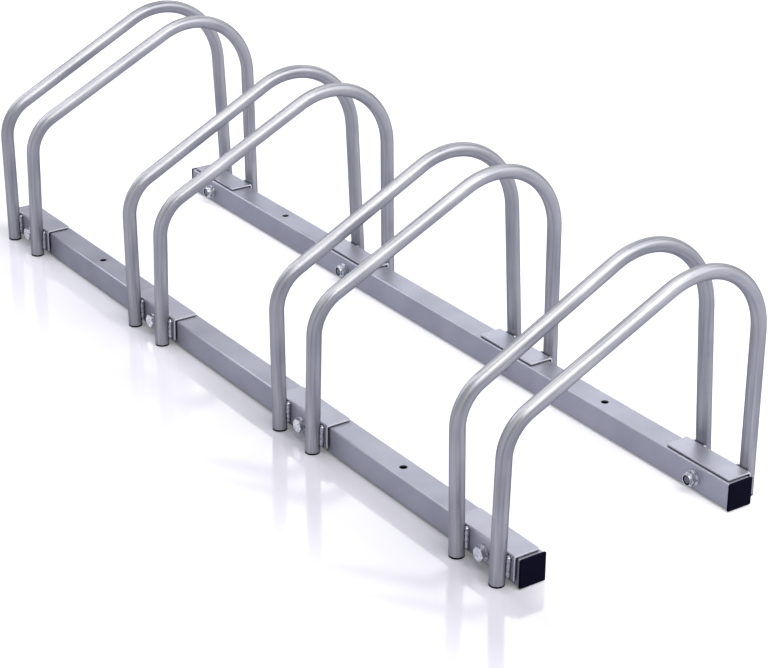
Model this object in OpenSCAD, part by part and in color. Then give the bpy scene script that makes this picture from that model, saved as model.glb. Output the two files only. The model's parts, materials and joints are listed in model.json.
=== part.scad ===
// Floor rack that holds four bicycles by the wheel.
// Two square rails lie on the floor. Four pairs of bent tubes stand on them, bolted through angle brackets.
// X runs along the rails, the wheels roll in along +Y over the front rail, and Z = 0 is the floor.

/* [Layout] */
// Distance between the middles of neighbouring wheel slots
slot_pitch = 300; // [220:5:400]
// Distance between the centre lines of the two rails, and of their floor holes
rail_spacing = 248; // [200:4:320]
// Rail left bare between an outer bracket and the rail's end
rail_end_bare = 4; // [1:0.5:60]
// Height of the rails' undersides above the floor
rail_lift = 1.5; // [0.5:0.1:2]

/* [Rails] */
// Outside width and height of the square rail
rail_w = 28; // [24:1:34]
// Wall of the rail
rail_wall = 1.5; // [1.2:0.1:2]
// Outside corner radius of the rail
rail_corner_r = 2; // [1.8:0.1:3]
// Diameter of the holes for floor anchors
floor_hole_d = 8; // [6:0.5:10]
// Distance from the third slot's middle to the joint between the two lengths of a rail
rail_joint_offset = 33; // [20:1:38]
// Length of the coupling sleeve that reaches into each length of rail
sleeve_reach = 60; // [45:1:90]
// Wall of the coupling sleeve
sleeve_wall = 1.5; // [1:0.1:2]
// Clearance on each side between the sleeve and the rail
sleeve_clear = 0.25; // [0.1:0.05:0.4]

/* [Hoops] */
// Outside diameter of the hoop tube
tube_d = 15; // [12:0.5:18]
// Wall of the hoop tube
tube_wall = 1.5; // [1:0.1:2]
// Distance between the axes of a pair's tubes at the floor
pair_gap = 60; // [52:1:64]
// Outward lean of each hoop of a pair, in degrees
splay_angle = 1.7; // [0:0.1:2.5]
// Height at which the front leg and the slope would meet without the bend
shoulder_h = 155.5; // [120:0.5:190]
// Height at which the slope and the rear leg would meet without the bend
peak_h = 300; // [260:1:340]
// Forward lean of the rear leg over its full height up to the peak
rear_lean_depth = 12; // [4:1:20]
// Radius of the shoulder bend at the tube's axis
shoulder_bend_r = 45; // [30:1:60]
// Radius of the top bend at the tube's axis
peak_bend_r = 80; // [60:1:95]

/* [Brackets] */
// Length of each bracket along the rail
bracket_length = 88; // [82:1:92]
// Sheet thickness of the bracket
bracket_t = 1.6; // [1.2:0.1:2.5]
// Inside radius of the bracket's bend
bracket_bend_r = 1; // [0.5:0.5:2]
// Gap between the bracket's upright flange and the rail, kept open by a collar round the bolt
bracket_gap = 1.8; // [0.5:0.1:2.5]
// Outside diameter of that collar, which is pressed out of the flange
bracket_collar_d = 14; // [11:0.5:18]
// Gap between the bracket's top flange and the rail
bracket_rise = 1; // [0.3:0.1:2]
// Strip of the rail's top that the bracket leaves bare at its inner edge
top_bare = 2.8; // [1:0.1:6]
// Height of the bracket's lower edge above the rail's underside
flange_raise = 5; // [3:0.5:7]
// Radius of the bracket's free corners
bracket_corner_r = 2; // [1:0.5:4]
// Radius of the weld beads beside the legs
weld_r = 3.2; // [1.5:0.1:3.5]

/* [Fasteners] */
// Shank diameter of the bolts
bolt_d = 8; // [6:1:8]
// Clearance round a bolt in its holes, on the diameter
bolt_clear = 0.6; // [0.3:0.1:1]
// Width across flats of bolt heads and nuts
hex_af = 13; // [11:1:14]
// Thickness of the bolt heads
head_h = 5.3; // [4:0.1:6]
// Height of the nuts' steel hexagon
nut_h = 5.6; // [4.5:0.1:6.5]
// Height of the nuts' round collar, which holds the nylon ring
collar_h = 2.4; // [1.5:0.1:3]
// Outside diameter of the washers
washer_d = 16; // [15:0.5:18]
// Thickness of the washers
washer_t = 1.6; // [1:0.1:2]
// Length of bolt that stands out of its nut. Below zero the bolt ends inside the nylon ring
bolt_proud = -0.5; // [-1:0.1:3]

/* [Plastic parts] */
// Thickness of an end cap's outer plate
cap_t = 2; // [1.5:0.5:4]
// How far that plate stands out past the rail's sides
cap_proud = 0.8; // [0:0.1:1]
// Length of an end cap's plug inside the rail
cap_reach = 14; // [10:1:20]
// Wall of the end cap's plug
cap_wall = 1.8; // [1.2:0.1:2.5]
// Thickness of a foot plug's sole
sole_t = 1.8; // [1:0.1:3]
// Length of a foot plug's stem inside the tube
stem_l = 14; // [8:1:20]
// Clearance between a plastic plug and the metal round it
plug_clear = 0.1; // [0.05:0.05:0.3]

/* [Hidden] */
$fn = 96;

// Colours
steel_paint = "#9a9ca8";
rail_paint = "#8f919f";
bead_grey = "#8a8c96";
zinc = "#d2d4d8";
plastic_black = "#14141c";
nylon = "#3c3e46";

// Overrun of a cutting shape past the face that it cuts, and the gap left between faces that only touch
overrun = rail_w / 10;
kiss = rail_w / 1000;

// Slots are numbered 1 to 4 from the left
slot_count = 4;
joint_slot = 3;
function slot_x(n) = (n - (slot_count + 1) / 2) * slot_pitch;
rail_end_x = slot_x(slot_count) + bracket_length / 2 + rail_end_bare;
joint_x = slot_x(joint_slot) - rail_joint_offset;

// Heights
rail_mid_z = rail_lift + rail_w / 2;
rail_top_z = rail_lift + rail_w;
bracket_top_z = rail_top_z + bracket_rise + bracket_t;
flange_low_z = rail_lift + flange_raise;

// Places across the rack. The front rail's centre line is at -rail_spacing / 2, and the rear rail's opposite.
tube_r = tube_d / 2;
bore_r = tube_r - tube_wall;
rail_y = rail_spacing / 2;
flange_y = rail_y + rail_w / 2 + bracket_gap + bracket_t;
front_leg_y = -(flange_y + tube_r / cos(splay_angle) + kiss);

// The rear leg leans forward as it rises and touches the flange at the flange's top edge
lean_per_height = rear_lean_depth / peak_h;
lean_angle = atan(lean_per_height);
rear_foot_y = flange_y + tube_r / cos(lean_angle) + kiss + lean_per_height * bracket_top_z;
hoop_depth = rear_foot_y - front_leg_y;

// Tube axis as directions and lengths: up the front leg, along the slope, down the rear leg
slope_run = hoop_depth - rear_lean_depth;
slope_rise = peak_h - shoulder_h;
slope_angle = atan2(slope_rise, slope_run);
shoulder_turn = 90 - slope_angle;
peak_turn = 90 + slope_angle - lean_angle;
shoulder_tangent = shoulder_bend_r * tan(shoulder_turn / 2);
peak_tangent = peak_bend_r * tan(peak_turn / 2);
front_leg_l = shoulder_h - shoulder_tangent;
slope_l = norm([slope_run, slope_rise]) - shoulder_tangent - peak_tangent;
rear_leg_l = norm([rear_lean_depth, peak_h]) - peak_tangent;

// Outside radius of the bracket's bend
bracket_outer_r = bracket_bend_r + bracket_t;

// Fasteners
bolt_r = bolt_d / 2;
bolt_hole_r = (bolt_d + bolt_clear) / 2;
nut_face = rail_w / 2 + washer_t;
nut_end = nut_face + nut_h + collar_h;
head_face = rail_w / 2 + bracket_gap + bracket_t + washer_t;
chamfer = hex_af / 22;
ring_t = bolt_r * 0.28;

// Weld beads: heights where they end, and the place of a bead's middle line beside a leg's axis.
// It lies so deep in the nook that the flange cuts it off at one third and the leg hollows it
weld_sink_share = 0.35;
weld_reach_share = 0.6;
weld_top_z = bracket_top_z - bracket_outer_r / 2;
weld_low_z = flange_low_z + weld_r / 2;
weld_y = tube_r - weld_sink_share * weld_r;
weld_x = sqrt(pow(tube_r + weld_reach_share * weld_r, 2) - weld_y * weld_y);

// Outline of a square with rounded corners
module rounded_square(w, r) {
    s = w / 2 - r;
    union() {
        square([w, 2 * s], center = true);
        square([2 * s, w], center = true);
        for (x = [-s, s], y = [-s, s]) translate([x, y]) circle(r);
    }
}

// Bar of rounded square section along X from x0 to x1
module square_bar(x0, x1, w, r) {
    translate([x0, 0, 0]) rotate([90, 0, 90]) linear_extrude(x1 - x0) rounded_square(w, r);
}

// Square tube along X from x0 to x1, centred on the rail's axis
module square_tube(x0, x1, w, wall, r) {
    difference() {
        square_bar(x0, x1, w, r);
        square_bar(x0 - overrun, x1 + overrun, w - 2 * wall, max(r - wall, wall / 3));
    }
}

// Through holes along Y at the slots, for the bolts
module bolt_holes() {
    for (n = [1 : slot_count]) translate([slot_x(n), 0, 0])
        rotate([90, 0, 0]) cylinder(h = 2 * (rail_w + overrun), r = bolt_hole_r, center = true);
}

// Vertical through holes for floor anchors, between slots 1 and 2 and between slots 3 and 4
module floor_holes() {
    for (n = [1, slot_count - 1]) translate([(slot_x(n) + slot_x(n + 1)) / 2, 0, 0])
        cylinder(h = rail_w + 2 * overrun, d = floor_hole_d, center = true);
}

// One length of rail, placed on its centre line
module rail(y, x0, x1) {
    color(rail_paint) translate([0, y, rail_mid_z]) difference() {
        square_tube(x0, x1, rail_w, rail_wall, rail_corner_r);
        bolt_holes();
        floor_holes();
    }
}

// Coupling sleeve inside the joint of one rail
module rail_sleeve(y) {
    w = rail_w - 2 * rail_wall - 2 * sleeve_clear;
    color(bead_grey) translate([0, y, rail_mid_z]) difference() {
        square_tube(joint_x - sleeve_reach, joint_x + sleeve_reach, w, sleeve_wall,
            rail_corner_r - sleeve_clear);
        bolt_holes();
    }
}

// Outline of the cap's plate in section: flat behind, chamfered in front
module cap_section() {
    half = rail_w / 2 + cap_proud;
    edge = cap_t / 2;
    polygon([
        [0, -half], [cap_t - edge, -half], [cap_t, -half + edge],
        [cap_t, half - edge], [cap_t - edge, half], [0, half]
    ]);
}

// Cap's plate: a rounded square whose four front edges are chamfered
module cap_plate() {
    plate_w = rail_w + 2 * cap_proud;
    intersection() {
        square_bar(0, cap_t, plate_w, rail_corner_r);
        linear_extrude(plate_w, center = true) cap_section();
        rotate([90, 0, 0]) linear_extrude(plate_w, center = true) cap_section();
    }
}

// End cap: a plate over the rail's end and a hollow plug with two ribs on each side. side is 1 or -1
module end_cap(y, side) {
    grip_w = rail_w - 2 * rail_wall - 2 * plug_clear;
    rib = cap_reach / 5;
    plug_w = grip_w - rib / 2;
    color(plastic_black) translate([side * rail_end_x, y, rail_mid_z]) mirror([side < 0 ? 1 : 0, 0, 0]) {
        cap_plate();
        difference() {
            union() {
                square_bar(-cap_reach, 0, plug_w, rail_corner_r);
                for (x = [rib, 3 * rib]) square_bar(-x - rib / 2, -x, grip_w, rail_corner_r);
            }
            square_bar(-cap_reach - overrun, 0, plug_w - 2 * cap_wall, rail_corner_r / 2);
        }
    }
}

// Round bar of radius r and length l that starts at the origin and runs along +X
module straight(l, r) {
    rotate([0, 90, 0]) cylinder(h = l, r = r);
}

// Round bend in the XY plane that starts at the origin along +X and turns clockwise
module bend(bend_r, turn, r) {
    translate([0, -bend_r, 0]) rotate([0, 0, 90 - turn])
        rotate_extrude(angle = turn) translate([bend_r, 0]) circle(r);
}

// Solid bar along the hoop's axis, stood up in the YZ plane with the front foot at the origin.
// extra lengthens both legs downwards. The tube is a hair slimmer in its bends, where bending draws it in,
// and each straight runs over the bend's end by the distance lap
module hoop_path(r, extra) {
    lap = 10 * kiss;
    bend_r = r - kiss;
    rotate([90, 0, 90]) {
        translate([0, -extra, 0]) rotate([0, 0, 90]) straight(front_leg_l + extra + lap, r);
        translate([0, front_leg_l, 0]) rotate([0, 0, 90]) bend(shoulder_bend_r, shoulder_turn, bend_r);
        translate([slope_run, peak_h, 0]) rotate([0, 0, slope_angle]) {
            translate([-peak_tangent - slope_l - lap, 0, 0]) straight(slope_l + 2 * lap, r);
            translate([-peak_tangent, 0, 0]) bend(peak_bend_r, peak_turn, bend_r);
        }
        translate([hoop_depth, 0, 0]) rotate([0, 0, 90 + lean_angle])
            translate([-extra, 0, 0]) straight(rear_leg_l + extra + lap, r);
    }
}

// Everything that leans with one hoop of a slot. side is -1 on the left and 1 on the right
module hoop_frame(n, side) {
    translate([slot_x(n) + side * pair_gap / 2, front_leg_y, 0])
        rotate([0, side * splay_angle, 0]) children();
}

// One hoop: a bent tube with both ends sawn level with the floor
module hoop(n, side) {
    reach = 2 * peak_h;
    color(steel_paint) difference() {
        hoop_frame(n, side) difference() {
            hoop_path(tube_r, sole_t + overrun);
            hoop_path(bore_r, sole_t + 2 * overrun);
        }
        translate([slot_x(n) - reach / 2, front_leg_y - reach / 2, sole_t - reach])
            cube([reach, 2 * reach, reach]);
    }
}

// Stem of a foot plug along the leg's axis, with three ribs that grip the bore
module plug_stem() {
    stem_r = bore_r - plug_clear;
    rib = stem_l / 7;
    translate([0, 0, sole_t * 0.6]) cylinder(h = sole_t * 0.4 + stem_l, r = stem_r - rib / 4);
    for (k = [1, 3, 5]) translate([0, 0, sole_t + k * rib]) cylinder(h = rib, r = stem_r);
}

// Sole of a foot plug, level on the floor under the end of a leg whose foot is at y
module plug_sole(n, side, y) {
    translate([slot_x(n) + side * pair_gap / 2, y, 0]) cylinder(h = sole_t, r = tube_r);
}

// Outline of a bracket in the YZ plane for the front rail, from its lower edge up, over the bend and inwards
module bracket_outline() {
    outer = bracket_outer_r;
    top_inner_y = -rail_y + rail_w / 2 - top_bare;
    translate([-flange_y, 0]) {
        translate([0, flange_low_z]) square([bracket_t, bracket_top_z - outer - flange_low_z]);
        translate([outer, bracket_top_z - bracket_t]) square([top_inner_y + flange_y - outer, bracket_t]);
        translate([outer, bracket_top_z - outer]) intersection() {
            difference() {
                circle(outer);
                circle(bracket_bend_r);
            }
            translate([-outer, 0]) square([outer, outer]);
        }
    }
}

// Rectangle from x = -l / 2 to l / 2 and from y0 to y1 whose corners at y1 are rounded
module round_ended(l, y0, y1, r) {
    translate([-l / 2, y0]) square([l, y1 - y0 - r]);
    translate([-l / 2 + r, y0]) square([l - 2 * r, y1 - y0]);
    for (x = [-l / 2 + r, l / 2 - r]) translate([x, y1 - r]) circle(r);
}

// Bent sheet of a front bracket, centred on X = 0, with its free corners rounded
module bracket_sheet() {
    bare_y = -rail_y + rail_w / 2 - top_bare;
    reach = bracket_top_z + overrun;
    intersection() {
        rotate([90, 0, 90]) linear_extrude(bracket_length, center = true) bracket_outline();
        linear_extrude(reach) round_ended(bracket_length, -flange_y - overrun, bare_y, bracket_corner_r);
        translate([0, -flange_y - overrun, 0]) rotate([-90, 0, 0]) linear_extrude(rail_w + 2 * overrun)
            round_ended(bracket_length, -reach, -flange_low_z, bracket_corner_r);
    }
}

// Angle bracket of one slot, with the collar that seats on the rail's face.
// dir is 1 on the front rail and -1 on the rear rail
module bracket(n, dir) {
    color(steel_paint) translate([slot_x(n), 0, 0]) mirror([0, dir < 0 ? 1 : 0, 0]) difference() {
        union() {
            bracket_sheet();
            translate([0, -rail_y - rail_w / 2, rail_mid_z]) rotate([90, 0, 0])
                cylinder(h = bracket_gap + bracket_t / 2, d = bracket_collar_d);
        }
        translate([0, -flange_y, rail_mid_z]) rotate([90, 0, 0])
            cylinder(h = 2 * (bracket_gap + bracket_t + overrun), r = bolt_hole_r, center = true);
    }
}

// Two beads in the nooks beside one leg: upright rods with tapered ends, sunk into the nook on the +Y side
module leg_welds() {
    reach = weld_top_z - weld_low_z;
    for (s = [-1, 1]) translate([s * weld_x, weld_y, weld_low_z])
        rotate_extrude() polygon([
            [0, 0], [weld_r / 2, 0], [weld_r, weld_r / 2],
            [weld_r, reach - weld_r / 2], [weld_r / 2, reach], [0, reach]
        ]);
}

// Weld beads of all front legs. Each bead ends at the leg's wall and at the flange's face
module front_welds() {
    color(bead_grey) for (n = [1 : slot_count], side = [-1, 1]) difference() {
        hoop_frame(n, side) difference() {
            leg_welds();
            cylinder(h = shoulder_h, r = tube_r + kiss);
        }
        translate([slot_x(n) - pair_gap, -flange_y - kiss, 0]) cube([2 * pair_gap, rail_w, shoulder_h]);
    }
}

// Weld beads of all rear legs
module rear_welds() {
    color(bead_grey) for (n = [1 : slot_count], side = [-1, 1]) difference() {
        hoop_frame(n, side) translate([0, hoop_depth, 0]) rotate([lean_angle, 0, 0]) difference() {
            mirror([0, 1, 0]) leg_welds();
            cylinder(h = shoulder_h, r = tube_r + kiss);
        }
        translate([slot_x(n) - pair_gap, flange_y - rail_w + kiss, 0])
            cube([2 * pair_gap, rail_w, shoulder_h]);
    }
}

// Foot plugs under all front legs
module front_foot_plugs() {
    color(plastic_black) for (n = [1 : slot_count], side = [-1, 1]) union() {
        plug_sole(n, side, front_leg_y);
        hoop_frame(n, side) plug_stem();
    }
}

// Foot plugs under all rear legs
module rear_foot_plugs() {
    color(plastic_black) for (n = [1 : slot_count], side = [-1, 1]) union() {
        plug_sole(n, side, rear_foot_y);
        hoop_frame(n, side) translate([0, hoop_depth, 0]) rotate([lean_angle, 0, 0]) plug_stem();
    }
}

// Hexagon of the fasteners with its corners rounded off at one or both ends by a cone
module hex_block(h) {
    corner_r = hex_af / 2 / cos(30);
    intersection() {
        cylinder(h = h, r = corner_r, $fn = 6);
        rotate_extrude() polygon([
            [0, 0], [hex_af / 2, 0], [corner_r, chamfer], [corner_r, h - chamfer], [hex_af / 2, h], [0, h]
        ]);
    }
}

// Places its children at every slot of one rail, with +Z pointing outwards from the rail's axis
module at_bolts(dir) {
    for (n = [1 : slot_count]) translate([slot_x(n), -dir * rail_y, rail_mid_z])
        rotate([dir * 90, 0, 0]) children();
}

// Bolt: hexagon head outside, plain shank through bracket and rail, chamfered tip
module bolt() {
    translate([0, 0, head_face]) hex_block(head_h);
    translate([0, 0, -nut_end - bolt_proud]) rotate_extrude() polygon([
        [0, 0], [bolt_r - chamfer, 0], [bolt_r, chamfer], [bolt_r, head_face + nut_end + bolt_proud],
        [0, head_face + nut_end + bolt_proud]
    ]);
}

// Flat washer
module washer() {
    difference() {
        cylinder(h = washer_t, d = washer_d);
        translate([0, 0, -overrun]) cylinder(h = washer_t + 2 * overrun, r = bolt_hole_r);
    }
}

// Self-locking nut: steel hexagon and a round collar with a recess for the nylon ring
module nut() {
    difference() {
        union() {
            hex_block(nut_h);
            cylinder(h = nut_h + collar_h, r = bolt_r + ring_t + chamfer);
        }
        translate([0, 0, -overrun]) cylinder(h = nut_h + 2 * overrun, r = bolt_r + kiss);
        translate([0, 0, nut_h]) cylinder(h = collar_h + overrun, r = bolt_r + ring_t);
    }
}

// Nylon ring in the nut's collar
module nut_ring() {
    translate([0, 0, nut_h]) difference() {
        cylinder(h = collar_h * 0.85, r = bolt_r + ring_t - kiss);
        translate([0, 0, -overrun]) cylinder(h = collar_h + 2 * overrun, r = bolt_r + kiss);
    }
}

module bolts(dir) { color(zinc) at_bolts(dir) bolt(); }
module outer_washers(dir) { color(zinc) at_bolts(dir) translate([0, 0, head_face - washer_t]) washer(); }
module inner_washers(dir) { color(zinc) at_bolts(dir) translate([0, 0, -nut_face]) washer(); }
module nuts(dir) { color(zinc) at_bolts(dir) translate([0, 0, -nut_face]) mirror([0, 0, 1]) nut(); }
module nut_rings(dir) {
    color(nylon) at_bolts(dir) translate([0, 0, -nut_face]) mirror([0, 0, 1]) nut_ring();
}

rail(-rail_y, -rail_end_x, joint_x);  // front_rail_long
rail(-rail_y, joint_x, rail_end_x);  // front_rail_short
rail_sleeve(-rail_y);  // front_rail_sleeve
rail(rail_y, -rail_end_x, joint_x);  // rear_rail_long
rail(rail_y, joint_x, rail_end_x);  // rear_rail_short
rail_sleeve(rail_y);  // rear_rail_sleeve
end_cap(-rail_y, -1);  // front_left_cap
end_cap(-rail_y, 1);  // front_right_cap
end_cap(rail_y, -1);  // rear_left_cap
end_cap(rail_y, 1);  // rear_right_cap
hoop(1, -1);  // hoop_1_left
hoop(1, 1);  // hoop_1_right
hoop(2, -1);  // hoop_2_left
hoop(2, 1);  // hoop_2_right
hoop(3, -1);  // hoop_3_left
hoop(3, 1);  // hoop_3_right
hoop(4, -1);  // hoop_4_left
hoop(4, 1);  // hoop_4_right
bracket(1, 1);  // front_bracket_1
bracket(2, 1);  // front_bracket_2
bracket(3, 1);  // front_bracket_3
bracket(4, 1);  // front_bracket_4
bracket(1, -1);  // rear_bracket_1
bracket(2, -1);  // rear_bracket_2
bracket(3, -1);  // rear_bracket_3
bracket(4, -1);  // rear_bracket_4
front_welds();
rear_welds();
front_foot_plugs();
rear_foot_plugs();
bolts(1);  // front_bolts
bolts(-1);  // rear_bolts
outer_washers(1);  // front_outer_washers
outer_washers(-1);  // rear_outer_washers
inner_washers(1);  // front_inner_washers
inner_washers(-1);  // rear_inner_washers
nuts(1);  // front_nuts
nuts(-1);  // rear_nuts
nut_rings(1);  // front_nut_rings
nut_rings(-1);  // rear_nut_rings
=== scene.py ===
"""Floor rack for four bicycles: finishes of the CAD parts, weld beads, floor, light and camera."""

import json
import math

import bmesh
import bpy
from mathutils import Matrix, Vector


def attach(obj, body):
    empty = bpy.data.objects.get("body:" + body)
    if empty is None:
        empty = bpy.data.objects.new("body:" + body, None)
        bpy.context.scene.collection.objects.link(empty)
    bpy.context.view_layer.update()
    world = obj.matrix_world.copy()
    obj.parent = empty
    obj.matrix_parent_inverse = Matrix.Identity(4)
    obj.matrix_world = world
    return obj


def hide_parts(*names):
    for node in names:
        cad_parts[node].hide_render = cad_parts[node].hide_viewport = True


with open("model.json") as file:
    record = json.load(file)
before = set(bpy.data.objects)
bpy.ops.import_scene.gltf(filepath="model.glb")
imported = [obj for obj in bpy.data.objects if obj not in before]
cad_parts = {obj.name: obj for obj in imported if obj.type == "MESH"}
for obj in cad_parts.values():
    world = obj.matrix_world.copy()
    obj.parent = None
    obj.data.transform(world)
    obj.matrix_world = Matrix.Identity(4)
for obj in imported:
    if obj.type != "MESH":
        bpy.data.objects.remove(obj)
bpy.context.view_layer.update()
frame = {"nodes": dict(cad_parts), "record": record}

NODES = frame["nodes"]
SLOT_OF = {part["node"]: part["material_slot"] for part in frame["record"]["subparts"]}

MM = 0.001
Z_AXIS = 2


# Nodes, for materials and for geometry alike

# Where nearly all of a noise's values lie
NOISE_SPAN = {"From Min": 0.3, "From Max": 0.7}
# Sockets of a Mix node, which has several of each name
FACTOR, NUMBER_A, NUMBER_B, COLOUR_A, COLOUR_B = 0, 2, 3, 6, 7
MIXED_COLOUR = 2


def linear(hex_colour):
    """sRGB hex such as "#9A9CA8" as a linear RGBA colour, by the curve of the sRGB standard."""
    channels = [int(hex_colour[i : i + 2], 16) / 255 for i in (1, 3, 5)]
    return [c / 12.92 if c <= 0.04045 else ((c + 0.055) / 1.055) ** 2.4 for c in channels] + [1]


def add_node(tree, kind, inputs=None, **settings):
    """Adds a node with its settings. An input is a value, or the node or socket linked to it."""
    node = tree.nodes.new(kind)
    for name, setting in settings.items():
        setattr(node, name, setting)
    for socket, source in (inputs or {}).items():
        if isinstance(source, bpy.types.Node):
            source = source.outputs[0]
        if isinstance(source, bpy.types.NodeSocket):
            tree.links.new(source, node.inputs[socket])
        else:
            node.inputs[socket].default_value = source
    return node


def new_material(name):
    """An empty material, its tree and its Object coordinates."""
    material = bpy.data.materials.new(name)
    material.use_nodes = True
    tree = material.node_tree
    tree.nodes.clear()
    return material, tree, add_node(tree, "ShaderNodeTexCoord").outputs["Object"]


# Powder coat

COAT_CLOUD = 45 * MM
COAT_PEEL = 2.2 * MM
COAT_PEEL_DEPTH = 0.06 * MM
COAT_PEEL_STRENGTH = 0.4
# Coarser than real flake, which is too fine to show
COAT_FLAKE = 0.9 * MM
COAT_FLAKE_GLOSS = 0.05
COAT_METALLIC = 0.75
COAT_IOR = 1.5
COAT_RIM_TINT = "#7C7C80"
# Painted shade in corners: a point counts as a corner by how little open air it has within reach
CORNER_REACH = 5 * MM
CORNER_SHADE_COLOUR = "#3E404A"
CORNER_SPAN = {"From Min": 0.1, "From Max": 0.6, "To Min": 0.2, "To Max": 1.0}
# Twice as coarse as on a real tube, or it wouldn't show from where a whole rack is seen
DRAWN_LINE = 1.8 * MM
DRAWN_TONE = 0.75
DRAWN_GLOSS = 0.16
DRAWN_HEIGHT = 14.0
# How far the rounded edge of an end has to face along the rack to take the painted highlight, from
# none to all
END_HIGHLIGHT_SPAN = {"From Min": 0.2, "From Max": 0.6}


def silver_powder_coat(name, dark, light, rough=0.43, drawn=None, edge=None, end_highlight=None):
    """Polyester powder coat full of aluminium flake, baked on steel: satin, darker at the rim,
    with orange peel, and with painted shade in its corners and crevices.
    drawn makes a coordinate that stays the same along a drawn tube, whose fine lines still show
    through the coat. edge is how far the coat rounds off the edges of a sheet or rail. The last
    argument is the colour of a painted highlight on the faces and rounded edges that face along
    the rack at its two ends, and needs edge."""
    material, tree, place = new_material(name)
    cloud = add_node(tree, "ShaderNodeTexNoise", {"Vector": place, "Scale": 1 / COAT_CLOUD})
    peel = add_node(
        tree, "ShaderNodeTexNoise", {"Vector": place, "Scale": 1 / COAT_PEEL, "Detail": 1.0}
    )
    flake = add_node(
        tree, "ShaderNodeTexNoise", {"Vector": place, "Scale": 1 / COAT_FLAKE, "Detail": 0.0}
    )
    tone = add_node(tree, "ShaderNodeMapRange", {"Value": cloud, **NOISE_SPAN})
    gloss_span = {"To Min": rough - COAT_FLAKE_GLOSS, "To Max": rough + COAT_FLAKE_GLOSS}
    gloss = add_node(tree, "ShaderNodeMapRange", {"Value": flake, **NOISE_SPAN, **gloss_span})
    height = peel
    if drawn:
        lines = add_node(
            tree, "ShaderNodeTexNoise", {"Vector": drawn(tree, place), "Scale": 1 / DRAWN_LINE}
        )
        streak = add_node(tree, "ShaderNodeMapRange", {"Value": lines, **NOISE_SPAN})
        tone = add_node(
            tree, "ShaderNodeMix", {FACTOR: DRAWN_TONE, NUMBER_A: tone, NUMBER_B: streak}
        )
        gloss = add_node(
            tree, "ShaderNodeMath", {0: streak, 1: DRAWN_GLOSS, 2: gloss}, operation="MULTIPLY_ADD"
        )
        height = add_node(
            tree, "ShaderNodeMath", {0: lines, 1: DRAWN_HEIGHT, 2: peel}, operation="MULTIPLY_ADD"
        )
    relief = {"Height": height, "Strength": COAT_PEEL_STRENGTH, "Distance": COAT_PEEL_DEPTH}
    colour = add_node(
        tree,
        "ShaderNodeMix",
        {FACTOR: tone, COLOUR_A: linear(dark), COLOUR_B: linear(light)},
        data_type="RGBA",
    ).outputs[MIXED_COLOUR]
    if edge:
        relief["Normal"] = add_node(tree, "ShaderNodeBevel", {"Radius": edge}, samples=6)
    # Painted highlight on the faces and rounded edges at the ends that face along the rack
    if end_highlight:
        facing = add_node(tree, "ShaderNodeSeparateXYZ", {"Vector": relief["Normal"]})
        endwise = add_node(
            tree, "ShaderNodeMath", {0: facing.outputs["X"]}, operation="ABSOLUTE"
        )
        highlit = add_node(tree, "ShaderNodeMapRange", {"Value": endwise, **END_HIGHLIGHT_SPAN})
        colour = add_node(
            tree,
            "ShaderNodeMix",
            {FACTOR: highlit, COLOUR_A: colour, COLOUR_B: linear(end_highlight)},
            data_type="RGBA",
        ).outputs[MIXED_COLOUR]
    bump = add_node(tree, "ShaderNodeBump", relief)
    # Painted shade in the corners, by how little open air they have within reach
    open_air = add_node(
        tree, "ShaderNodeAmbientOcclusion", {"Distance": CORNER_REACH}, samples=4
    ).outputs["AO"]
    coat_unshaded = add_node(tree, "ShaderNodeMapRange", {"Value": open_air, **CORNER_SPAN})
    colour = add_node(
        tree,
        "ShaderNodeMix",
        {FACTOR: coat_unshaded, COLOUR_A: linear(CORNER_SHADE_COLOUR), COLOUR_B: colour},
        data_type="RGBA",
    ).outputs[MIXED_COLOUR]
    shader = add_node(
        tree,
        "ShaderNodeBsdfPrincipled",
        {
            "Base Color": colour,
            "Metallic": COAT_METALLIC,
            "Roughness": gloss,
            "IOR": COAT_IOR,
            "Specular Tint": linear(COAT_RIM_TINT),
            "Normal": bump,
        },
    )
    add_node(tree, "ShaderNodeOutputMaterial", {"Surface": shader})
    return material


SLOT_PITCH = 300 * MM
HOOP_LEAN = math.radians(1.7)
ALONG_SHRINK = 0.02


def along_hoop(tree, place):
    """Coordinate that changes across a hoop's tube but hardly along it, for all hoops at once:
    the distance from midway between two slots, plus how far a hoop has leant that way at that
    height, with depth and height shrunk."""
    x, y, z = add_node(tree, "ShaderNodeSeparateXYZ", {"Vector": place}).outputs
    across = add_node(tree, "ShaderNodeMath", {0: x, 1: SLOT_PITCH / 2}, operation="PINGPONG")
    upright = add_node(
        tree,
        "ShaderNodeMath",
        {0: z, 1: math.tan(HOOP_LEAN), 2: across},
        operation="MULTIPLY_ADD",
    )
    depth = add_node(tree, "ShaderNodeMath", {0: y, 1: ALONG_SHRINK}, operation="MULTIPLY")
    level = add_node(tree, "ShaderNodeMath", {0: z, 1: ALONG_SHRINK}, operation="MULTIPLY")
    return add_node(tree, "ShaderNodeCombineXYZ", {"X": upright, "Y": depth, "Z": level})


# Zinc, bare steel and plastic

ZINC_CLOUD = 5 * MM
ZINC_DARK = "#ACAFB9"
ZINC_LIGHT = "#D2D4DA"
ZINC_TONE_SPAN = {"From Min": 0.35, "From Max": 0.65}
ZINC_GLOSS_SPAN = {"To Min": 0.2, "To Max": 0.32}
ZINC_EDGE = 0.3 * MM
# Painted shade in the zinc's corners and recesses, by how little open air they have within reach
ZINC_SHADE_COLOUR = "#5C5E69"
ZINC_SHADE_REACH = 2 * MM
ZINC_SHADE_SPAN = {"From Min": 0.1, "From Max": 0.45}


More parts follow.
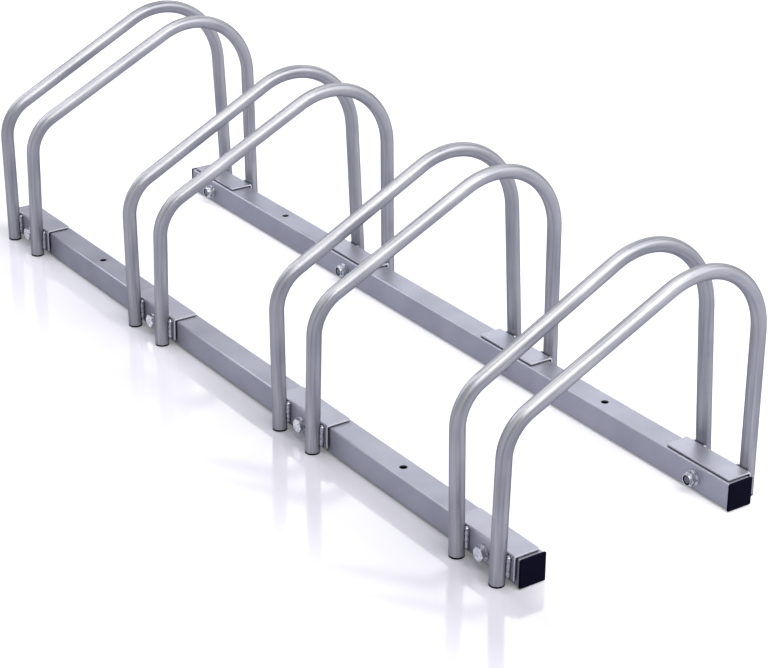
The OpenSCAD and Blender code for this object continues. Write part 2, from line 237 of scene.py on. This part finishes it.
def bright_zinc(name, shade_ends_within=0.0):
    """Electroplated zinc with a clear blue passivation: bright, slightly uneven, faintly blue,
    with painted shade in its corners and recesses. Nearer to the rack's middle plane than the
    distance given last, it is painted all in that shade, for the bolt ends in their nuts."""
    material, tree, place = new_material(name)
    cloud = add_node(tree, "ShaderNodeTexNoise", {"Vector": place, "Scale": 1 / ZINC_CLOUD})
    tone = add_node(tree, "ShaderNodeMapRange", {"Value": cloud, **ZINC_TONE_SPAN})
    colour = add_node(
        tree,
        "ShaderNodeMix",
        {FACTOR: tone, COLOUR_A: linear(ZINC_DARK), COLOUR_B: linear(ZINC_LIGHT)},
        data_type="RGBA",
    ).outputs[MIXED_COLOUR]
    open_air = add_node(
        tree, "ShaderNodeAmbientOcclusion", {"Distance": ZINC_SHADE_REACH}, samples=6
    ).outputs["AO"]
    zinc_unshaded = add_node(tree, "ShaderNodeMapRange", {"Value": open_air, **ZINC_SHADE_SPAN})
    # Painted shade over all of a bolt nearer than that to the rack's middle plane, where its end
    # sits in its nut
    depth = add_node(tree, "ShaderNodeSeparateXYZ", {"Vector": place}).outputs["Y"]
    off_middle = add_node(tree, "ShaderNodeMath", {0: depth}, operation="ABSOLUTE")
    outside_bolt_ends = add_node(
        tree, "ShaderNodeMath", {0: off_middle, 1: shade_ends_within}, operation="GREATER_THAN"
    )
    zinc_unshaded = add_node(tree, "ShaderNodeMath", {0: zinc_unshaded, 1: outside_bolt_ends}, operation="MULTIPLY")
    colour = add_node(
        tree,
        "ShaderNodeMix",
        {FACTOR: zinc_unshaded, COLOUR_A: linear(ZINC_SHADE_COLOUR), COLOUR_B: colour},
        data_type="RGBA",
    ).outputs[MIXED_COLOUR]
    gloss = add_node(
        tree, "ShaderNodeMapRange", {"Value": cloud, **NOISE_SPAN, **ZINC_GLOSS_SPAN}
    )
    edge = add_node(tree, "ShaderNodeBevel", {"Radius": ZINC_EDGE}, samples=4)
    shader = add_node(
        tree,
        "ShaderNodeBsdfPrincipled",
        {"Base Color": colour, "Metallic": 1.0, "Roughness": gloss, "Normal": edge},
    )
    add_node(tree, "ShaderNodeOutputMaterial", {"Surface": shader})
    return material


# Coarser than real drawing marks, which are too fine to show
STEEL_LINE = 0.8 * MM
STEEL_LINE_STRETCH = (0.03, 1, 1)
STEEL_DARK = "#6F7175"
STEEL_LIGHT = "#8E9094"
STEEL_GLOSS_SPAN = {"To Min": 0.38, "To Max": 0.55}


def bare_steel(name):
    """Cold-drawn steel tube, oiled and unpainted: grey with drawing marks along its length."""
    material, tree, place = new_material(name)
    along = add_node(
        tree, "ShaderNodeMapping", {"Vector": place, "Scale": STEEL_LINE_STRETCH}
    )
    lines = add_node(tree, "ShaderNodeTexNoise", {"Vector": along, "Scale": 1 / STEEL_LINE})
    colour = add_node(
        tree,
        "ShaderNodeMix",
        {FACTOR: lines, COLOUR_A: linear(STEEL_DARK), COLOUR_B: linear(STEEL_LIGHT)},
        data_type="RGBA",
    ).outputs[MIXED_COLOUR]
    gloss = add_node(
        tree, "ShaderNodeMapRange", {"Value": lines, **NOISE_SPAN, **STEEL_GLOSS_SPAN}
    )
    shader = add_node(
        tree,
        "ShaderNodeBsdfPrincipled",
        {"Base Color": colour, "Metallic": 1.0, "Roughness": gloss},
    )
    add_node(tree, "ShaderNodeOutputMaterial", {"Surface": shader})
    return material


# Coarser than a mould's real grain, which is too fine to show
PLASTIC_GRAIN = 0.7 * MM
PLASTIC_GRAIN_DEPTH = 0.05 * MM
PLASTIC_GRAIN_STRENGTH = 0.3
PLASTIC_SMOOTHER = 0.04
PLASTIC_ROUGHER = 0.06
PLASTIC_IOR = 1.51
PLASTIC_SPECULAR = 0.02


def moulded_plastic(name, dark, light, rough):
    """Injection-moulded plastic from a spark-eroded mould: dull, with a fine even grain."""
    material, tree, place = new_material(name)
    grain = add_node(
        tree, "ShaderNodeTexNoise", {"Vector": place, "Scale": 1 / PLASTIC_GRAIN, "Detail": 1.0}
    )
    colour = add_node(
        tree,
        "ShaderNodeMix",
        {FACTOR: grain, COLOUR_A: linear(dark), COLOUR_B: linear(light)},
        data_type="RGBA",
    ).outputs[MIXED_COLOUR]
    gloss_span = {"To Min": rough - PLASTIC_SMOOTHER, "To Max": rough + PLASTIC_ROUGHER}
    gloss = add_node(tree, "ShaderNodeMapRange", {"Value": grain, **NOISE_SPAN, **gloss_span})
    bump = add_node(
        tree,
        "ShaderNodeBump",
        {"Height": grain, "Strength": PLASTIC_GRAIN_STRENGTH, "Distance": PLASTIC_GRAIN_DEPTH},
    )
    shader = add_node(
        tree,
        "ShaderNodeBsdfPrincipled",
        {
            "Base Color": colour,
            "Roughness": gloss,
            "IOR": PLASTIC_IOR,
            "Specular IOR Level": PLASTIC_SPECULAR,
            "Normal": bump,
        },
    )
    add_node(tree, "ShaderNodeOutputMaterial", {"Surface": shader})
    return material


# Finishes, by the name of a CAD node or of its material slot

RAIL_EDGE = 0.5 * MM
BRACKET_EDGE = 1.0 * MM
# The bolts' ends, nearer than this to the rack's middle plane, are painted in shade
BOLT_END_SHADE_WITHIN = 106 * MM
bolt_zinc = bright_zinc("bright_zinc_bolt", shade_ends_within=BOLT_END_SHADE_WITHIN)
FINISHES = {
    "rail_powder_coat": silver_powder_coat(
        "rail_silver_powder_coat", "#9496A3", "#9FA1AE", edge=RAIL_EDGE
    ),
    "hoop_powder_coat": silver_powder_coat(
        "hoop_silver_powder_coat", "#7A7C86", "#A7A8AF", rough=0.32, drawn=along_hoop
    ),
    # The rails' coat, lightened as painted light to make up for the shade that the legs leave in
    # reflection on the bracket tops
    "bracket_powder_coat": silver_powder_coat(
        "bracket_powder_coat_painted_lighter", "#9D9FAC", "#AAACB8", edge=BRACKET_EDGE, end_highlight="#C6C8D1"
    ),
    "coated_weld_bead": silver_powder_coat(
        "coated_weld_bead", "#858793", "#A2A4AE", rough=0.28
    ),
    "bare_sleeve_steel": bare_steel("drawn_sleeve_steel"),
    "bright_zinc_plating": bright_zinc("bright_zinc_plating"),
    "front_bolts": bolt_zinc,
    "rear_bolts": bolt_zinc,
    "moulded_cap_plastic": moulded_plastic(
        "moulded_cap_polyethylene", "#060618", "#0A0A1C", rough=0.55
    ),
    "moulded_foot_plastic": moulded_plastic(
        "moulded_foot_polyethylene", "#0A0A12", "#12121C", rough=0.55
    ),
    "nylon_ring": moulded_plastic("moulded_nylon", "#14151F", "#1C1D28", rough=0.4),
}

for node_name, node in NODES.items():
    node.data.materials.clear()
    node.data.materials.append(FINISHES.get(node_name) or FINISHES[SLOT_OF[node_name]])


# Solids of a CAD node

SAME_POINT = 0.001 * MM
END_SLICE = 0.1 * MM


def solids_of(node_name):
    """The points of each separate solid of a CAD node, as a list of lists, from left to right."""
    mesh = bmesh.new()
    mesh.from_mesh(NODES[node_name].data)
    bmesh.ops.remove_doubles(mesh, verts=mesh.verts, dist=SAME_POINT)
    found, solids = set(), []
    for start in mesh.verts:
        if start in found:
            continue
        found.add(start)
        solid = [start]
        for vert in solid:  # The list grows while it is walked
            for edge in vert.link_edges:
                other = edge.other_vert(vert)
                if other not in found:
                    found.add(other)
                    solid.append(other)
        solids.append([vert.co.copy() for vert in solid])
    mesh.free()
    return sorted(solids, key=lambda points: min(p.x for p in points))


def middle(points):
    """Mean of the points."""
    return sum(points, Vector()) / len(points)


def ends_along(points, axis):
    """Middles of a solid's lowest and highest slice along an axis."""
    low, high = min(p[axis] for p in points), max(p[axis] for p in points)
    return (
        middle([p for p in points if p[axis] < low + END_SLICE]),
        middle([p for p in points if p[axis] > high - END_SLICE]),
    )


def line_object(name, segments):
    """Object with one loose edge for each (start, end)."""
    mesh = bpy.data.meshes.new(name)
    points = [p for segment in segments for p in segment]
    mesh.from_pydata(points, [(2 * i, 2 * i + 1) for i in range(len(segments))], [])
    obj = bpy.data.objects.new(name, mesh)
    bpy.context.collection.objects.link(obj)
    return obj


# Weld beads: a lumpy rod of stacked puddles along each line

BEAD_RADIUS = 2.6 * MM
BEAD_PUDDLE = 6 * MM
BEAD_RIPPLE = 0.13
BEAD_ROUGHNESS = 1.1 * MM
BEAD_LUMP = 6 * MM
BEAD_STEPS = 60
BEAD_SIDES = 20
# How unevenly the puddles follow each other
BEAD_WAVE_DISTORTION = 9.0
# Shares of a bead's length and of its full width: over the first, from each end, it swells
# from the second to all of it
BEAD_END = 0.08
BEAD_END_WIDTH = 0.45
# A wave texture at scale 1 repeats over this length
WAVE_LENGTH = math.pi / 10
SIDE_SEEDS = (("front", 3.0), ("rear", 11.0))


def weld_bead_tree():
    """Geometry tree that makes a bead along each loose edge: of radius Radius, with a dip of
    Ripple between puddles, and its surface pushed about by up to half of Roughness."""
    tree = bpy.data.node_groups.new("weld_bead", "GeometryNodeTree")
    face = tree.interface
    face.new_socket("Geometry", in_out="OUTPUT", socket_type="NodeSocketGeometry")
    face.new_socket("Geometry", in_out="INPUT", socket_type="NodeSocketGeometry")
    for name, value in (
        ("Radius", BEAD_RADIUS),
        ("Puddle spacing", BEAD_PUDDLE),
        ("Ripple", BEAD_RIPPLE),
        ("Roughness", BEAD_ROUGHNESS),
        ("Seed", 0.0),
    ):
        socket = face.new_socket(name, in_out="INPUT", socket_type="NodeSocketFloat")
        socket.default_value = value
    inputs = add_node(tree, "NodeGroupInput").outputs
    lines = add_node(tree, "GeometryNodeMeshToCurve", {"Mesh": inputs["Geometry"]})
    lines = add_node(tree, "GeometryNodeResampleCurve", {"Curve": lines, "Count": BEAD_STEPS})
    place = add_node(tree, "GeometryNodeInputPosition")
    # A wave along the bead dips once for each puddle
    bands = add_node(
        tree, "ShaderNodeMath", {0: WAVE_LENGTH, 1: inputs["Puddle spacing"]}, operation="DIVIDE"
    )
    wave = add_node(
        tree,
        "ShaderNodeTexWave",
        {
            "Vector": place,
            "Scale": bands,
            "Distortion": BEAD_WAVE_DISTORTION,
            "Detail": 1.0,
            "Phase Offset": inputs["Seed"],
        },
        bands_direction="Z",
    ).outputs["Fac"]
    dip = add_node(tree, "ShaderNodeMath", {0: 1.0, 1: inputs["Ripple"]}, operation="SUBTRACT")
    width = add_node(tree, "ShaderNodeMapRange", {"Value": wave, "To Min": dip})
    # Rounded ends
    along = add_node(tree, "GeometryNodeSplineParameter").outputs["Factor"]
    from_end = add_node(tree, "ShaderNodeMath", {0: along, 1: 0.5}, operation="PINGPONG")
    ends = add_node(
        tree,
        "ShaderNodeMapRange",
        {"Value": from_end, "From Max": BEAD_END, "To Min": BEAD_END_WIDTH},
        interpolation_type="SMOOTHERSTEP",
    )
    width = add_node(tree, "ShaderNodeMath", {0: width, 1: ends}, operation="MULTIPLY")
    width = add_node(
        tree, "ShaderNodeMath", {0: width, 1: inputs["Radius"]}, operation="MULTIPLY"
    )
    ring = add_node(
        tree, "GeometryNodeCurvePrimitiveCircle", {"Resolution": BEAD_SIDES, "Radius": 1.0}
    )
    rod = add_node(
        tree,
        "GeometryNodeCurveToMesh",
        {"Curve": lines, "Profile Curve": ring, "Scale": width, "Fill Caps": True},
    )
    lumps = add_node(
        tree,
        "ShaderNodeTexNoise",
        {"Vector": place, "W": inputs["Seed"], "Scale": 1 / BEAD_LUMP, "Detail": 1.0},
        noise_dimensions="4D",
    ).outputs["Color"]
    shift = add_node(
        tree, "ShaderNodeVectorMath", {0: lumps, 1: (0.5, 0.5, 0.5)}, operation="SUBTRACT"
    )
    shift = add_node(
        tree, "ShaderNodeVectorMath", {0: shift, "Scale": inputs["Roughness"]}, operation="SCALE"
    )
    rod = add_node(tree, "GeometryNodeSetPosition", {"Geometry": rod, "Offset": shift})
    rod = add_node(tree, "GeometryNodeSetShadeSmooth", {0: rod})
    rod = add_node(tree, "GeometryNodeRealizeInstances", {"Geometry": rod})
    rod = add_node(
        tree,
        "GeometryNodeSetMaterial",
        {"Geometry": rod, "Material": FINISHES["coated_weld_bead"]},
    )
    add_node(tree, "NodeGroupOutput", {"Geometry": rod})
    return tree


def run_tree(obj, tree, values):
    """Runs the tree on obj with these inputs, and leaves the result as obj's plain mesh."""
    modifier = obj.modifiers.new(tree.name, "NODES")
    modifier.node_group = tree
    for item in tree.interface.items_tree:
        if item.in_out == "INPUT" and item.name in values:
            modifier[item.identifier] = values[item.name]
    made = bpy.data.meshes.new_from_object(
        obj.evaluated_get(bpy.context.evaluated_depsgraph_get())
    )
    obj.modifiers.clear()
    obj.data = made
    made.name = obj.name


bead_tree = weld_bead_tree()
for side, seed in SIDE_SEEDS:
    cad_welds = f"{side}_welds"
    lines = [ends_along(points, Z_AXIS) for points in solids_of(cad_welds)]
    beads = line_object(f"{side}_weld_beads", lines)
    run_tree(beads, bead_tree, {"Radius": BEAD_RADIUS, "Seed": seed})
    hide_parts(cad_welds)
    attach(beads, "root")


# Floor

# A hair below the feet, so that the two never fight for the same plane
FLOOR_Z = -0.1 * MM
FLOOR_HALF = 6.0
FLOOR_PAPER = "#CFD0DE"
ACRYLIC_SPECULAR = 0.42
ACRYLIC_ROUGHNESS = 0.09
ACRYLIC_IOR = 1.7
# The acrylic is a strip along the rack's front, and these are its soft edges by y
GLOSS_BACK_EDGE = {"From Min": -105 * MM, "From Max": -150 * MM}
GLOSS_FRONT_EDGE = {"From Min": -310 * MM, "From Max": -200 * MM}
# The acrylic also mirrors the back softbox, right of a line that slants across the floor. Near
# the rack the paper under it is painted darker there for the camera alone, as painted shade
# that offsets that glare.
GLARE_SLANT = (0.64, 1, 0)
GLARE_EDGE = {"From Min": -210 * MM, "From Max": -140 * MM}
GLARE_NEAR = {"From Min": 900 * MM, "From Max": 700 * MM}
GLARE_SHADED_PAPER = "#BBBCC9"
# Light that lifts the floor to white, from paper to acrylic, which mirrors the white room
LIFT = {"To Min": 0.44, "To Max": 0.26}
# What comes off it, by x. The key softbox is on the right.
LIFT_KEY_SIDE = {"From Min": -500 * MM, "From Max": 700 * MM, "To Min": -0.13, "To Max": -0.17}
# What is added to it far from the rack, where the lamps hardly reach
LIFT_BEYOND = {"From Min": 1000 * MM, "From Max": 3000 * MM}
# The camera's share of it, from paper to acrylic, where a full share would drown the mirror
# image in white
CAMERA_SHARE = {"To Min": 1.2, "To Max": 0.85}


def seen_white(tree, ray, camera):
    """How much white a ray sees: all of it off gloss and through glass, the value of camera if
    it comes from the camera, and otherwise none."""
    seen = add_node(
        tree, "ShaderNodeMath", {0: camera, 1: ray["Is Glossy Ray"]}, operation="MAXIMUM"
    )
    return add_node(
        tree, "ShaderNodeMath", {0: seen, 1: ray["Is Transmission Ray"]}, operation="MAXIMUM"
    )


def white_floor():
    """Matt white paper with a strip of acrylic along the rack's front: lifted to white for the
    camera, so that only shade and the soft mirror image show on it. The image fades away from
    the rack, as the photograph's does."""
    material, tree, place = new_material("white_floor")
    x, y = add_node(tree, "ShaderNodeSeparateXYZ", {"Vector": place}).outputs[:2]
    off = add_node(tree, "ShaderNodeVectorMath", {0: place}, operation="LENGTH").outputs["Value"]
    ray = add_node(tree, "ShaderNodeLightPath").outputs

    front = add_node(tree, "ShaderNodeMapRange", {"Value": y, **GLOSS_BACK_EDGE})
    fade = add_node(tree, "ShaderNodeMapRange", {"Value": y, **GLOSS_FRONT_EDGE})
    front = add_node(tree, "ShaderNodeMath", {0: front, 1: fade}, operation="MULTIPLY")
    gloss = add_node(
        tree, "ShaderNodeMath", {0: front, 1: ACRYLIC_SPECULAR}, operation="MULTIPLY"
    )

    slant = add_node(
        tree, "ShaderNodeVectorMath", {0: place, 1: GLARE_SLANT}, operation="DOT_PRODUCT"
    ).outputs["Value"]
    glare = add_node(tree, "ShaderNodeMapRange", {"Value": slant, **GLARE_EDGE})
    near = add_node(tree, "ShaderNodeMapRange", {"Value": off, **GLARE_NEAR})
    for share in (front, near, ray["Is Camera Ray"]):
        glare = add_node(tree, "ShaderNodeMath", {0: glare, 1: share}, operation="MULTIPLY")
    # Painted shade: the paper is darker for the camera where the acrylic mirrors the back softbox
    paper = add_node(
        tree,
        "ShaderNodeMix",
        {FACTOR: glare, COLOUR_A: linear(FLOOR_PAPER), COLOUR_B: linear(GLARE_SHADED_PAPER)},
        data_type="RGBA",
    ).outputs[MIXED_COLOUR]
    sheen = add_node(
        tree,
        "ShaderNodeBsdfPrincipled",
        {
            "Base Color": paper,
            "Roughness": ACRYLIC_ROUGHNESS,
            "IOR": ACRYLIC_IOR,
            "Specular IOR Level": gloss,
        },
    )

    lift = add_node(tree, "ShaderNodeMapRange", {"Value": front, **LIFT})
    key_side = add_node(tree, "ShaderNodeMapRange", {"Value": x, **LIFT_KEY_SIDE})
    beyond = add_node(tree, "ShaderNodeMapRange", {"Value": off, **LIFT_BEYOND})
    for more in (key_side, beyond):
        lift = add_node(tree, "ShaderNodeMath", {0: lift, 1: more}, operation="ADD")
    share = add_node(tree, "ShaderNodeMapRange", {"Value": front, **CAMERA_SHARE})
    camera = add_node(
        tree, "ShaderNodeMath", {0: ray["Is Camera Ray"], 1: share}, operation="MULTIPLY"
    )
    seen = seen_white(tree, ray, camera)
    lift = add_node(tree, "ShaderNodeMath", {0: seen, 1: lift}, operation="MULTIPLY")
    glow = add_node(tree, "ShaderNodeEmission", {"Strength": lift})
    both = add_node(tree, "ShaderNodeAddShader", {0: sheen, 1: glow})
    add_node(tree, "ShaderNodeOutputMaterial", {"Surface": both})
    return material


floor_mesh = bpy.data.meshes.new("floor")
floor_mesh.from_pydata(
    [(x * FLOOR_HALF, y * FLOOR_HALF, FLOOR_Z) for x, y in ((-1, -1), (1, -1), (1, 1), (-1, 1))],
    [],
    [(0, 1, 2, 3)],
)
floor_mesh.materials.append(white_floor())
floor = bpy.data.objects.new("floor", floor_mesh)
bpy.context.collection.objects.link(floor)


# World: white for rays from the camera, from gloss and through glass, and a soft fill for the rest

WORLD_FILL = 0.25

world = bpy.data.worlds.new("white_studio")
world.use_nodes = True
tree = world.node_tree
tree.nodes.clear()
ray = add_node(tree, "ShaderNodeLightPath").outputs
seen = seen_white(tree, ray, ray["Is Camera Ray"])
strength = add_node(tree, "ShaderNodeMapRange", {"Value": seen, "To Min": WORLD_FILL})
white = add_node(tree, "ShaderNodeBackground", {"Color": (1, 1, 1, 1), "Strength": strength})
add_node(tree, "ShaderNodeOutputWorld", {"Surface": white})
bpy.context.scene.world = world


# Light

WHITE = "#FFFFFF"
WARM_WHITE = "#FFFAF2"
# Name, place, aim, length of a side, watts and colour
SOFTBOXES = (
    ("key_softbox", (2.1, -0.1, 2.9), (0, 0, 0.1), 2.1, 84, WARM_WHITE),
    ("overhead_softbox", (-0.4, -0.3, 2.4), (0, 0, 0), 1.5, 20, WARM_WHITE),
    ("crown_softbox", (1.6, 1.5, 1.95), (0.1, 0, 0.2), 2.0, 34, WHITE),
    ("back_softbox", (-1.75, 1.8, 1.4), (0.1, 0, 0), 1.8, 16.5, WHITE),
    ("front_softbox", (-2.3, -0.8, 1.75), (0, 0, 0.1), 1.3, 26, WHITE),
)


def softbox(name, place, aim, size, power, colour):
    """Square area lamp at place that faces aim."""
    lamp = bpy.data.lights.new(name, "AREA")
    lamp.color = linear(colour)[:3]
    lamp.shape = "SQUARE"
    lamp.size = size
    lamp.energy = power
    obj = bpy.data.objects.new(name, lamp)
    obj.location = place
    obj.rotation_euler = (Vector(aim) - Vector(place)).to_track_quat("-Z", "Y").to_euler()
    bpy.context.collection.objects.link(obj)


for settings in SOFTBOXES:
    softbox(*settings)


# Camera: a long lens, turned to the photograph's view

CAMERA_PLACE = (1.79797, -1.19463, 1.02656)
CAMERA_TURN_DEGREES = (65.0105, -0.5505, 55.3145)
CAMERA_LENS_MM = 103.297
CAMERA_SENSOR_MM = 36
CAMERA_SEES_TO = 50

camera_data = bpy.data.cameras.new("camera")
camera_data.sensor_width = CAMERA_SENSOR_MM
camera_data.lens = CAMERA_LENS_MM
camera_data.clip_end = CAMERA_SEES_TO
camera = bpy.data.objects.new("camera", camera_data)
camera.location = CAMERA_PLACE
camera.rotation_euler = [math.radians(angle) for angle in CAMERA_TURN_DEGREES]
bpy.context.collection.objects.link(camera)
bpy.context.scene.camera = camera
bpy.context.scene.view_settings.view_transform = "Standard"
